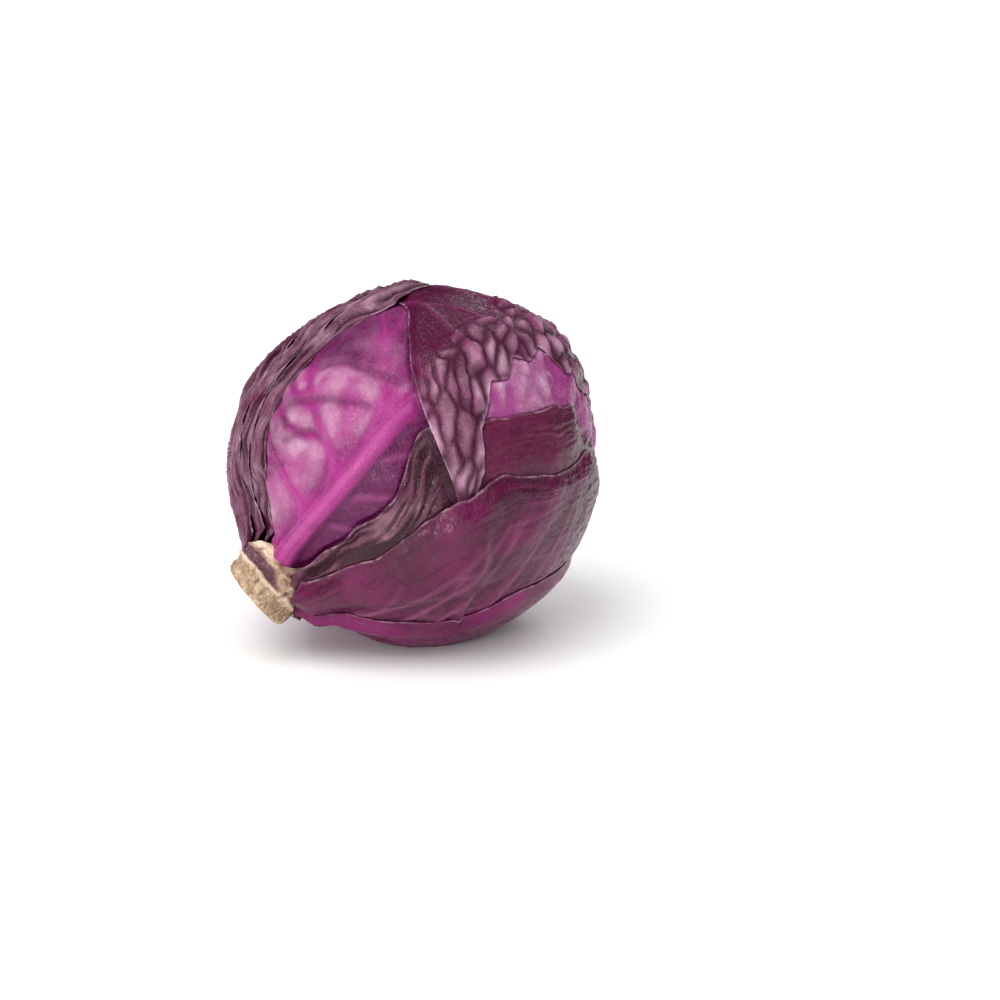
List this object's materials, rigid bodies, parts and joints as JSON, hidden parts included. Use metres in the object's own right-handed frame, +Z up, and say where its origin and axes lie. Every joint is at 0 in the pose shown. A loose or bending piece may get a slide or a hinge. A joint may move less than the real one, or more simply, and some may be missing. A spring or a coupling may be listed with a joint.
{
  "type": "cabbage head",
  "caption": "Head of red cabbage lying on its side, with overlapping wrapper leaves round a closed inner head and a cut stem stub.",
  "frame": {"origin": "point of the flat resting spot right under the centre of the head", "axes": "+Z up from the surface it rests on; -Y is the front, where the large ribbed leaf faces; the stem points down to the front left"},
  "size_m": [0.1506, 0.1535, 0.1438],
  "materials": {
    "leaf_bright": "satin, waxy leaf with pink ribs",
    "leaf_dark": "satin, waxy dark leaf",
    "leaf_mauve": "satin, dulled by pale wax",
    "leaf_inner": "satin, smooth inner leaf",
    "stem": "dry, corky skin"
  },
  "bodies": {
    "root": {"inner_head": "leaf_inner", "leaf_crown_back": "leaf_mauve", "leaf_front": "leaf_bright", "leaf_crown_front": "leaf_inner", "leaf_back_low": "leaf_mauve", "leaf_front_low": "leaf_dark", "leaf_top_blistered": "leaf_mauve", "leaf_under_front": "leaf_dark", "leaf_left_inner": "leaf_mauve", "leaf_left_middle": "leaf_mauve", "leaf_left_outer": "leaf_mauve", "leaf_underside": "leaf_bright", "stem_stub": "stem"}
  },
  "joints": []
}
